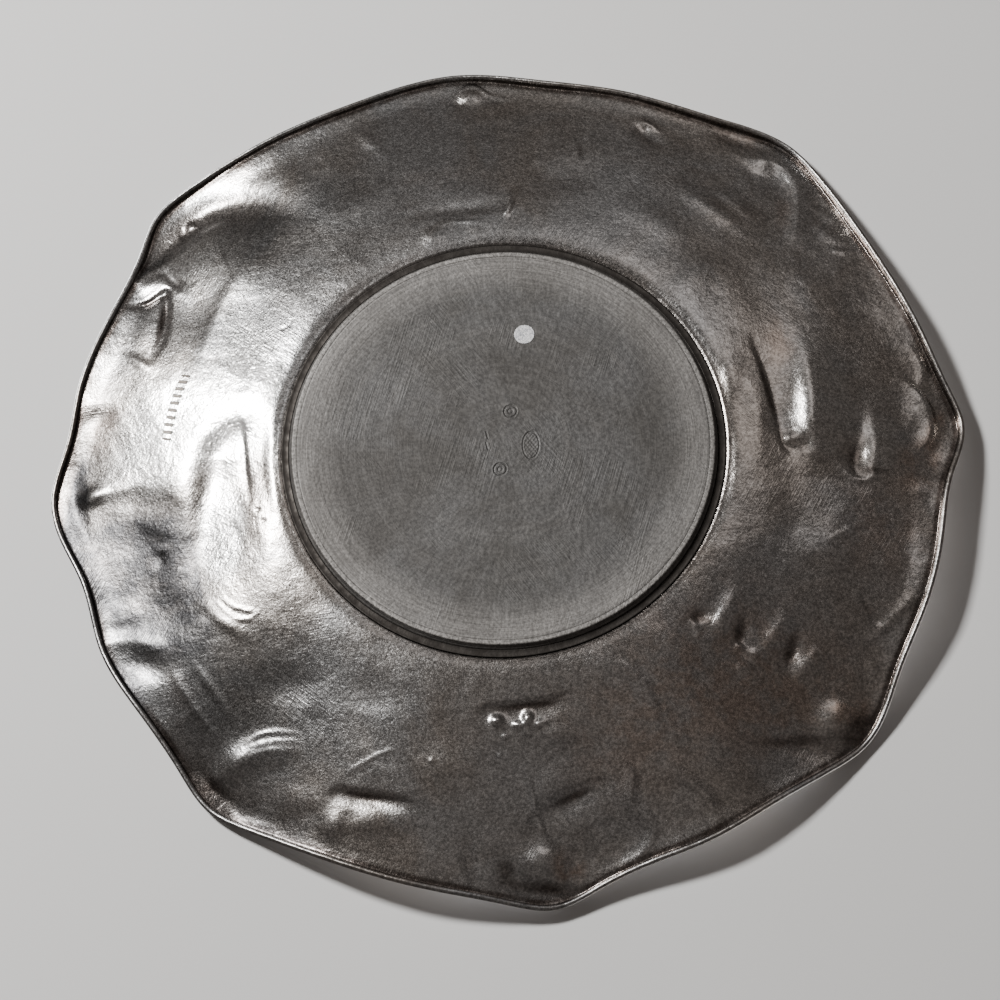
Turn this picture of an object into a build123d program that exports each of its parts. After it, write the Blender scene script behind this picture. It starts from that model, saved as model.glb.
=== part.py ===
from build123d import *
import math
import os

# Large pewter relief dish ("paten plate"): a flat round base in a turned foot ring, a
# broad wavy rim soldered round the ring, and a rolled bead along the rim's edge.
# Frame: +Z up out of the dish's mouth, origin at the centre of the resting plane.
# All sizes are in millimetres.

# ---- driving dimensions -------------------------------------------------------------

SHEET = 1.8             # thickness of the pewter sheet
REST_OUTER = 82.6       # outer radius of the flat face that the dish rests on
REST_INNER = 79.4       # inner radius of that face, where the base disc is let in
BASE_HOLLOW = 0.45      # how far the base disc lies back from the resting plane
EDGE_ROUND = 0.7        # rounding between the resting face and the ring's wall
JOINT_RADIUS = 85.0     # where foot ring and rim are soldered together
JOINT_HEIGHT = 3.6      # underside of the rim at that joint
NECK = 0.4              # upright part of the ring's wall just below the joint
WALL_HEIGHT = 5.6       # top of the foot ring, seen as a low ridge inside the dish
WALL_WIDTH = 1.6        # width of the ring there, and of the step at its foot
LIP_RADIUS = 88.5       # crest of the rim's inner lip, outside the groove
LIP_HEIGHT = 1.9        # underside of the rim at that crest
CREST_INSET = 6.0       # the rim's highest line lies this far inside its outer edge
EDGE_DROP = 2.2         # how far the sheet turns down again from there to its edge
TURN_INSET = 3.6        # a point half way round that turn: inset from the outer edge
TURN_DROP = 0.4         # and the drop there
BEAD_WIDTH = 1.9        # rolled bead, measured outwards from the sheet's edge
BEAD_SWELL = 0.45       # how far the bead stands proud of the sheet, above and below
BEAD_STEPS = 6          # curves across the bead's rounding
SEAM_WIDTH = 2.6        # solder fillet, measured out along the rim from the joint
SEAM_DROP = 0.4         # and its part of the way down the ring's sloping wall
SEAM_HOLLOW = 0.2       # how far the fillet's face is hollowed
LABEL_DIAMETER = 8.0    # round paper label under the base
LABEL_THICKNESS = 0.12
LABEL_PLACE = (8.5, -47.0)

# The rim's outer edge as (angle in degrees, radius, height of the rim's crest there).
# The eight lobes are the places with the greatest radius; they bend up, and the
# stretches between them dip. The low corner near 155 degrees is a ninth, weaker one.
OUTLINE = [
    (-5.2, 183.7, 27.0),    # lobe
    (2.7, 177.1, 22.0),
    (10.7, 175.4, 21.0),
    (20.6, 175.8, 22.0),
    (30.6, 177.1, 27.0),
    (36.5, 180.8, 32.0),
    (39.9, 181.2, 33.0),    # lobe
    (45.4, 178.1, 30.0),
    (55.0, 174.2, 25.0),
    (62.6, 173.8, 24.5),
    (71.4, 172.8, 26.5),
    (78.6, 176.3, 30.0),
    (83.7, 180.7, 31.0),    # lobe
    (90.0, 178.6, 27.0),
    (101.3, 176.0, 21.5),
    (113.3, 175.7, 22.5),
    (124.1, 178.8, 29.0),
    (129.7, 180.9, 32.0),   # lobe
    (135.9, 177.2, 30.0),
    (145.8, 175.1, 26.0),
    (155.3, 176.1, 27.5),   # low corner
    (164.2, 174.4, 26.5),
    (171.2, 179.9, 29.0),
    (177.3, 182.9, 31.0),   # lobe
    (184.6, 177.7, 28.0),
    (191.4, 177.2, 25.5),
    (204.2, 176.3, 26.0),
    (214.0, 181.7, 31.0),
    (218.8, 187.1, 33.0),   # lobe
    (225.1, 184.8, 31.0),
    (236.1, 179.1, 26.0),
    (248.5, 177.0, 26.0),
    (263.6, 179.9, 29.0),   # lobe
    (274.9, 175.1, 26.5),
    (286.6, 174.9, 25.0),
    (300.2, 179.0, 27.0),
    (309.6, 185.3, 30.0),   # lobe
    (314.4, 183.1, 29.0),
    (325.5, 176.9, 24.0),
    (341.4, 176.7, 22.0),
    (350.5, 180.7, 25.0),
]

# The rim's rise from its inner lip to its crest, as (part of the way out, part of the
# height climbed). It starts nearly level, climbs evenly and rounds over at the crest.
RISE = [
    (0.08, 0.03),
    (0.25, 0.17),
    (0.45, 0.385),
    (0.65, 0.62),
    (0.83, 0.845),
    (0.94, 0.965),
    (1.0, 1.0),
]

# The lobes' places in the outline: curves round the dish are divided there.
LOBES = [
    place
    for place in range(len(OUTLINE))
    if OUTLINE[place - 1][1] < OUTLINE[place][1] > OUTLINE[(place + 1) % len(OUTLINE)][1]
]


# ---- curves that follow the outline --------------------------------------------------

def closed_curve(points):
    """A smooth closed wire, through one point for each point of the outline."""
    turns = [angle for angle, _, _ in OUTLINE] + [OUTLINE[0][0] + 360]
    loop = Edge.make_spline(points, periodic=True, parameters=turns)
    cuts = [points[place] for place in LOBES[1:]]
    return Wire([loop.trim(start, stop) for start, stop in zip([0.0] + cuts, cuts + [1.0])])


def circle_wire(radius, height):
    """A level circle, divided at the same angles."""
    cuts = [OUTLINE[place][0] for place in LOBES]
    plane = Plane((0, 0, height))
    arcs = zip(cuts, cuts[1:] + [cuts[0] + 360])
    return Wire([Edge.make_circle(radius, plane, start, stop) for start, stop in arcs])


def rise_wire(outward, climbed, lift):
    """The rim's surface part of the way from its inner lip to its crest."""
    points = []
    for angle, radius, crest in OUTLINE:
        r = LIP_RADIUS + outward * (radius - CREST_INSET - LIP_RADIUS)
        z = LIP_HEIGHT + climbed * (crest - LIP_HEIGHT) + lift
        points.append(Vector(r, 0, z).rotate(Axis.Z, angle))
    return closed_curve(points)


def edge_wire(inset, drop):
    """A curve a given distance inside the outer edge, and that far below the crest."""
    points = []
    for angle, radius, crest in OUTLINE:
        points.append(Vector(radius - inset, 0, crest - drop).rotate(Axis.Z, angle))
    return closed_curve(points)


def skin(wires, ruled=False):
    """The faces of a surface through a row of closed wires."""
    return list(Shell.make_loft(wires, ruled).faces())


def closed_solid(faces):
    """One solid from faces that meet all round."""
    solid = Solid(Shell(faces))
    if solid.volume < 0:
        solid = Solid(Shell([-face for face in faces]))
    return solid


# ---- the pieces ------------------------------------------------------------------------

def rim():
    """The broad wavy rim: a sheet from the joint with the foot ring to its beaded edge."""
    def side(lift):
        joint = circle_wire(JOINT_RADIUS, JOINT_HEIGHT + lift)
        lip = circle_wire(LIP_RADIUS, LIP_HEIGHT + lift)
        rise = [rise_wire(outward, climbed, lift) for outward, climbed in RISE]
        turn = edge_wire(TURN_INSET, TURN_DROP - lift)
        edge = edge_wire(BEAD_WIDTH, EDGE_DROP - lift)
        return joint, lip, rise, turn, edge

    faces = []
    for lift in (0.0, SHEET):
        joint, lip, rise, turn, edge = side(lift)
        faces += skin([joint, lip], ruled=True)
        faces += skin([lip] + rise)
        faces += skin([rise[-1], turn, edge])
    under, over = side(0.0), side(SHEET)
    faces += skin([under[0], over[0]], ruled=True)
    faces += skin([under[-1], over[-1]], ruled=True)
    return closed_solid(faces)


def edge_bead():
    """The rolled bead that closes the rim's edge all the way round."""
    middle = SHEET / 2
    half = middle + BEAD_SWELL
    wires = [edge_wire(BEAD_WIDTH, EDGE_DROP)]
    for step in range(1, BEAD_STEPS):
        turn = math.radians(-90 + 180 * step / BEAD_STEPS)
        inset = BEAD_WIDTH * (1 - math.cos(turn))
        wires.append(edge_wire(inset, EDGE_DROP - middle - half * math.sin(turn)))
    wires.append(edge_wire(BEAD_WIDTH, EDGE_DROP - SHEET))
    return closed_solid(skin(wires) + skin([wires[0], wires[-1]], ruled=True))


def revolved(outline):
    """A closed (radius, height) outline turned once round the dish's axis."""
    return Solid.revolve(Face(outline), 360, Axis.Z)


def base_disc():
    """The flat round base: the dish's floor on one side, its underside on the other."""
    return Solid.make_cylinder(REST_INNER, SHEET, Plane((0, 0, BASE_HOLLOW)))


# The ring's sloping outer wall runs between these two (radius, height) points.
WALL_LOW = (REST_OUTER + EDGE_ROUND, EDGE_ROUND)
WALL_HIGH = (JOINT_RADIUS, JOINT_HEIGHT - NECK)


def foot_ring():
    """The turned ring round the base: resting face below, low rounded ridge above."""
    floor_top = BASE_HOLLOW + SHEET
    springing = WALL_HEIGHT - WALL_WIDTH / 2
    low = (WALL_LOW[0], 0, WALL_LOW[1])
    high = (WALL_HIGH[0], 0, WALL_HIGH[1])
    ridge_outer = (JOINT_RADIUS, 0, springing)
    ridge_top = (JOINT_RADIUS - WALL_WIDTH / 2, 0, WALL_HEIGHT)
    ridge_inner = (JOINT_RADIUS - WALL_WIDTH, 0, springing)
    foot = (REST_INNER + WALL_WIDTH, 0, floor_top)
    outline = Wire([
        Edge.make_line((REST_INNER, 0, 0), (REST_OUTER, 0, 0)),
        Edge.make_tangent_arc((REST_OUTER, 0, 0), (1, 0, 0), low),
        Edge.make_line(low, high),
        Edge.make_line(high, ridge_outer),
        Edge.make_three_point_arc(ridge_outer, ridge_top, ridge_inner),
        Edge.make_line(ridge_inner, foot),
        Edge.make_line(foot, (REST_INNER, 0, floor_top)),
        Edge.make_line((REST_INNER, 0, floor_top), (REST_INNER, 0, 0)),
    ])
    return revolved(outline)


def solder_seam():
    """The solder fillet that fills the bottom of the groove between ring and rim."""
    slope = (LIP_HEIGHT - JOINT_HEIGHT) / (LIP_RADIUS - JOINT_RADIUS)
    corner = (JOINT_RADIUS, 0, JOINT_HEIGHT)
    high = (WALL_HIGH[0], 0, WALL_HIGH[1])
    on_wall = (
        WALL_HIGH[0] + SEAM_DROP * (WALL_LOW[0] - WALL_HIGH[0]),
        0,
        WALL_HIGH[1] + SEAM_DROP * (WALL_LOW[1] - WALL_HIGH[1]),
    )
    on_rim = (JOINT_RADIUS + SEAM_WIDTH, 0, JOINT_HEIGHT + slope * SEAM_WIDTH)
    middle = ((on_wall[0] + on_rim[0]) / 2, 0, (on_wall[2] + on_rim[2]) / 2 + SEAM_HOLLOW)
    outline = Wire([
        Edge.make_line(corner, high),
        Edge.make_line(high, on_wall),
        Edge.make_three_point_arc(on_wall, middle, on_rim),
        Edge.make_line(on_rim, corner),
    ])
    return revolved(outline)


def inventory_label():
    """A small round paper label stuck under the hollow of the base."""
    place = (LABEL_PLACE[0], LABEL_PLACE[1], BASE_HOLLOW - LABEL_THICKNESS)
    return Solid.make_cylinder(LABEL_DIAMETER / 2, LABEL_THICKNESS, Plane(place))


def main():
    os.makedirs("parts", exist_ok=True)
    for make in (rim, edge_bead, base_disc, foot_ring, solder_seam, inventory_label):
        export_step(make(), f"parts/{make.__name__}.step")


main()
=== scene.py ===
"""Looks of the paten plate: a large relief-worked pewter dish, seen from its underside."""

import math

import bpy
import numpy as np
from mathutils import Matrix, Vector


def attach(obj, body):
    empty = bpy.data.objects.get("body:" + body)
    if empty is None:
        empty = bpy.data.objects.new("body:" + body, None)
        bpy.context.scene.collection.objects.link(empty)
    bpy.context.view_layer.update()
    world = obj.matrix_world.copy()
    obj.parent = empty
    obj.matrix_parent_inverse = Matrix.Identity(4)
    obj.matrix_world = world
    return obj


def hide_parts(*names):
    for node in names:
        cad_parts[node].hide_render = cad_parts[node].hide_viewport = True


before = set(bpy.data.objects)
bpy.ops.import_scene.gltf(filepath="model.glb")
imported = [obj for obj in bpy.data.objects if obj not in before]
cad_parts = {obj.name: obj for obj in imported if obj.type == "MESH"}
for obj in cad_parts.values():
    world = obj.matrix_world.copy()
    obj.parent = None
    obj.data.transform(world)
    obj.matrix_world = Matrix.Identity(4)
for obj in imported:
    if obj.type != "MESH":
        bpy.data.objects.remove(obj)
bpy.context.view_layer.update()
MM = 0.001

# ---- the dish's own sizes, in millimetres, as the CAD has them ----

SHEET = 1.8
REST_OUTER = 82.6
BASE_HOLLOW = 0.45
JOINT_RADIUS = 85.0
JOINT_HEIGHT = 3.6
NECK = 0.4
WALL_HEIGHT = 5.6
WALL_WIDTH = 1.6
LIP_RADIUS = 88.5
LIP_HEIGHT = 1.9
CREST_INSET = 2.9
EDGE_DROP = 2.2
BEAD_SWELL = 0.45
LABEL_PLACE = (8.5, -47.0)
LABEL_RADIUS = 4.0
LABEL_THICKNESS = 0.12

# The rim's outer edge: (angle in degrees, radius, height of the rim's crest there).
OUTLINE = [
    (-5.2, 183.7, 27.0), (2.7, 177.1, 22.0), (10.7, 175.4, 21.0), (20.6, 175.8, 22.0),
    (30.6, 177.1, 27.0), (36.5, 180.8, 32.0), (39.9, 181.2, 33.0), (45.4, 178.1, 30.0),
    (55.0, 174.2, 25.0), (62.6, 173.8, 24.5), (71.4, 172.8, 26.5), (78.6, 176.3, 30.0),
    (83.7, 180.7, 31.0), (90.0, 178.6, 27.0), (101.3, 176.0, 21.5), (113.3, 175.7, 22.5),
    (124.1, 178.8, 29.0), (129.7, 180.9, 32.0), (135.9, 177.2, 30.0), (145.8, 175.1, 26.0),
    (155.3, 176.1, 27.5), (164.2, 174.4, 26.5), (171.2, 179.9, 29.0), (177.3, 182.9, 31.0),
    (184.6, 177.7, 28.0), (191.4, 177.2, 25.5), (204.2, 176.3, 26.0), (214.0, 181.7, 31.0),
    (218.8, 187.1, 33.0), (225.1, 184.8, 31.0), (236.1, 179.1, 26.0), (248.5, 177.0, 26.0),
    (263.6, 179.9, 29.0), (274.9, 175.1, 26.5), (286.6, 174.9, 25.0), (300.2, 179.0, 27.0),
    (309.6, 185.3, 30.0), (314.4, 183.1, 29.0), (325.5, 176.9, 24.0), (341.4, 176.7, 22.0),
    (350.5, 180.7, 25.0),
]

# The rim's climb from the lip to the crest: (part of the way out, part of the height).
RISE = [
    (0, 0), (0.08, 0.03), (0.25, 0.17), (0.45, 0.385), (0.65, 0.62), (0.83, 0.845), (0.94, 0.965),
    (1, 1),
]

# The turn down from the crest to the bead: (distance inside the edge, drop).
TURN = [
    (2.9, 0.0), (2.65, 0.08), (2.4, 0.4), (2.15, 1.1), (1.9, 1.9),
]

# ---- what only the visible model has, in millimetres ----

SHOWN_JOINT = 81.2      # where the disc and the ring part on the underside, at the worn line
LIP_BLUNT = 0.60        # how much the crest of the inner lip is rounded off
LIP_SOFT = 2.4          # how wide that rounding is
HIGHEST = 34.8          # the lobes' height, which the relief doesn't pass
LIMIT_EASE = 1.2        # how softly the relief stops there
BEAD_HALF = 1.05        # half the bead's width

AROUND = 1320           # points round the rim and the bead
LIP_STEP = 0.35         # between the rows of points on the lip
TURN_ROWS = 12          # rows on the turn down to the bead
BEAD_ROWS = 20


# ---- smooth curves ----

def spline(knots, values, at, period=None):
    """A cubic spline through the knots, closed if it has a period."""
    x, y = np.array(knots, float), np.array(values, float)
    if period:
        x, y = np.append(x, x[0] + period), np.append(y, y[:1], axis=0)
        at = (at - x[0]) % period + x[0]
    n, h = len(x), np.diff(x)
    slope = (np.diff(y, axis=0).T / h).T
    a, b = np.zeros((n, n)), np.zeros(y.shape)
    for k in range(1, n - 1):
        a[k, k - 1:k + 2] = h[k - 1], 2 * (h[k - 1] + h[k]), h[k]
        b[k] = 6 * (slope[k] - slope[k - 1])
    a[0, 0] = a[-1, -1] = 1
    if period:
        a[0, 0], a[0, -1] = 1, -1
        a[-1, :2] = 2 * h[0], h[0]
        a[-1, -2:] = h[-1], 2 * h[-1]
        b[-1] = 6 * (slope[0] - slope[-1])
    m = np.linalg.solve(a, b)
    k = np.clip(np.searchsorted(x, at, side="right") - 1, 0, n - 2)
    p, q, w = x[k + 1] - at, at - x[k], h[k]
    if y.ndim > 1:
        p, q, w = p[..., None], q[..., None], w[..., None]
    return (
        (m[k] * p**3 + m[k + 1] * q**3) / (6 * w)
        + (y[k] / w - m[k] * w / 6) * p
        + (y[k + 1] / w - m[k + 1] * w / 6) * q
    )


def smooth(edge0, edge1, x):
    """An even step from 0 at edge0 to 1 at edge1."""
    t = np.clip((x - edge0) / (edge1 - edge0), 0, 1)
    return t * t * (3 - 2 * t)


def hump(distance, width):
    """1 in the middle of a soft hump, falling to 0 beyond its width."""
    return np.exp(-((distance / width) ** 2))


def ripple(a, *parts):
    """A ripple round the dish from (height, number round the dish, phase) waves."""
    return sum(height * np.sin(count * a + phase) for height, count, phase in parts)


def between(start, end, part):
    """The point at a part of the way from start to end, both (radius, height)."""
    return start[0] + (end[0] - start[0]) * part, start[1] + (end[1] - start[1]) * part


def arc(centre, size, degrees):
    """Points of a (radius, height) profile on a round corner."""
    turns = [math.radians(d) for d in degrees]
    return [(centre[0] + size * math.cos(t), centre[1] + size * math.sin(t)) for t in turns]


ANGLES = [row[0] for row in OUTLINE]
RIM_POINTS = [
    (r * math.cos(math.radians(a)), r * math.sin(math.radians(a)), z) for a, r, z in OUTLINE
]


def edge_line(turn):
    """Unit direction, outer edge and crest height at each angle (degrees)."""
    line = spline(ANGLES, RIM_POINTS, turn, 360)
    way = np.stack([np.cos(np.radians(turn)), np.sin(np.radians(turn))], -1)
    return way, line[:, :2], line[:, 2]


# ---- meshes ----

def grid_mesh(name, rows, closed_rows=False, marks=None, tips=()):
    """A mesh object from rows of points that each run round the dish, out over the top side
    and back along the underside. closed_rows joins the last row to the first; tips are two
    points on the axis that close the two ends. marks are values for the material to read."""
    rows = np.asarray(rows, float)
    count, around = rows.shape[:2]
    points = rows.reshape(-1, 3)
    here = np.arange(around)
    after = (here + 1) % around
    quads = []
    for i in range(count if closed_rows else count - 1):
        this, following = i * around, (i + 1) % count * around
        quads.append(np.stack([this + here, following + here, following + after, this + after], -1))
    quads = np.concatenate(quads)
    fans = np.zeros((0, 3), int)
    if tips:
        first, last = count * around, count * around + 1
        points = np.concatenate([points, np.array(tips, float)])
        end = (count - 1) * around
        top = np.stack([here * 0 + first, here, after], -1)
        bottom = np.stack([here * 0 + last, end + after, end + here], -1)
        fans = np.concatenate([top, bottom])
    mesh = bpy.data.meshes.new(name)
    mesh.vertices.add(len(points))
    mesh.vertices.foreach_set("co", (points * MM).ravel())
    corners = np.concatenate([quads.ravel(), fans.ravel()])
    mesh.loops.add(len(corners))
    mesh.loops.foreach_set("vertex_index", corners)
    totals = np.concatenate([np.full(len(quads), 4), np.full(len(fans), 3)])
    mesh.polygons.add(len(totals))
    mesh.polygons.foreach_set("loop_start", np.concatenate([[0], np.cumsum(totals)[:-1]]))
    mesh.update(calc_edges=True)
    mesh.validate()
    mesh.shade_smooth()
    for key, values in (marks or {}).items():
        mesh.attributes.new(key, "FLOAT", "POINT").data.foreach_set("value", values.ravel())
    obj = bpy.data.objects.new(name, mesh)
    bpy.context.scene.collection.objects.link(obj)
    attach(obj, "root")
    return obj


def lathe(name, profile, around, tips=(), work=None, closed=True):
    """A turned piece from a (radius, height) profile; work gives its uneven depth."""
    a = np.arange(around) * 2 * math.pi / around
    r, z = np.array(profile, float).T
    rows = np.stack([r[:, None] * np.cos(a), r[:, None] * np.sin(a), z[:, None] + 0 * a], -1)
    if work:
        rows[..., 2] += work(rows[..., 0], rows[..., 1], rows[..., 2])
    return grid_mesh(name, rows, closed_rows=closed, tips=tips)


# ---- relief of the rim ----
# All places are (x, y) in millimetres on the underside, heights in millimetres towards
# whoever looks at the underside; a negative height is a hollow there.

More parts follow.
